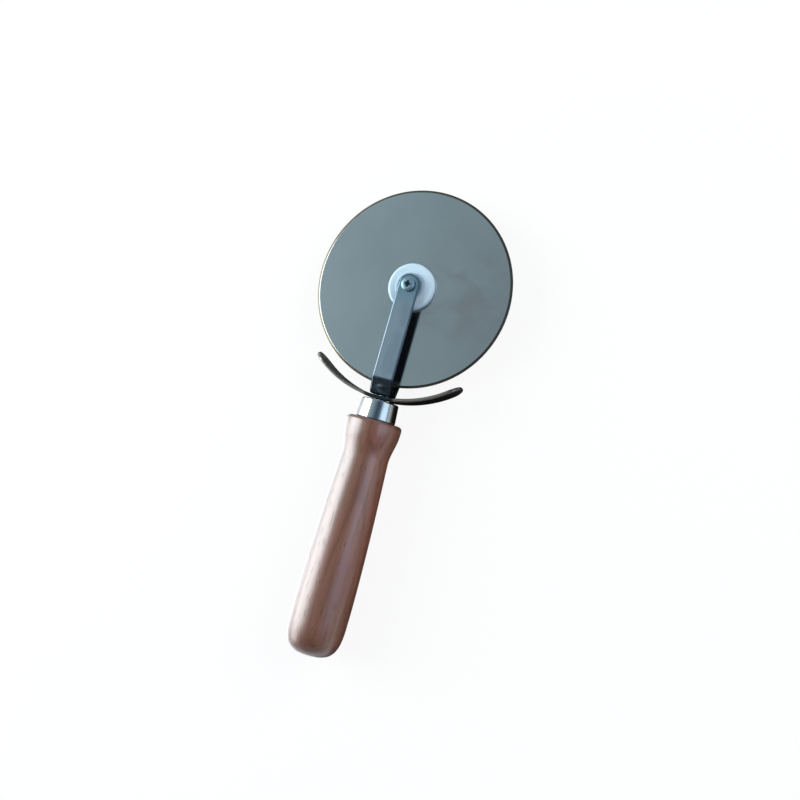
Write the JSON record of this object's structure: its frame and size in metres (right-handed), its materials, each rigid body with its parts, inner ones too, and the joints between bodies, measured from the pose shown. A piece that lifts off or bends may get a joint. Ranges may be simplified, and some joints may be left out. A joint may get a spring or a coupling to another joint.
{
  "type": "pizza cutter",
  "caption": "Pizza cutter: bevelled steel wheel on a nylon hub, held in a bent strap fork with a curved finger guard, ferrule and turned wooden handle.",
  "frame": {"origin": "under the middle of the tool's outline as it lies flat, on the plane that the handle's belly touches", "axes": "+Z along the wheel's axle, from the post's head to the screw's head; +Y along the handle, towards the wheel; +X across the tool"},
  "size_m": [0.1, 0.235, 0.0285],
  "materials": {
    "wheel_steel": "satin rolled stainless steel, rim ground brighter",
    "strap_steel": "smooth pressed strap steel with rolled edges",
    "fastener_steel": "bright zinc-plated steel",
    "ferrule_nickel": "polished nickel plate",
    "hub_nylon": "milky white moulded nylon",
    "handle_wood": "red-brown stained hardwood, satin lacquer"
  },
  "bodies": {
    "handle_frame": {"handle": "handle_wood", "ferrule": "ferrule_nickel", "guard": "strap_steel", "fork": "strap_steel", "tang": "fastener_steel", "axle_post": "fastener_steel", "axle_screw": "fastener_steel", "washer_front": "fastener_steel", "washer_back": "fastener_steel"},
    "wheel": {"cutting_wheel": "wheel_steel", "hub_front": "hub_nylon", "hub_back": "hub_nylon"}
  },
  "joints": [
    {"name": "wheel_spin", "type": "hinge", "parent": "handle_frame", "child": "wheel", "pos_m": [0, 0.06753, 0.01425], "axis": [0, 0, 1], "continuous": true}
  ]
}
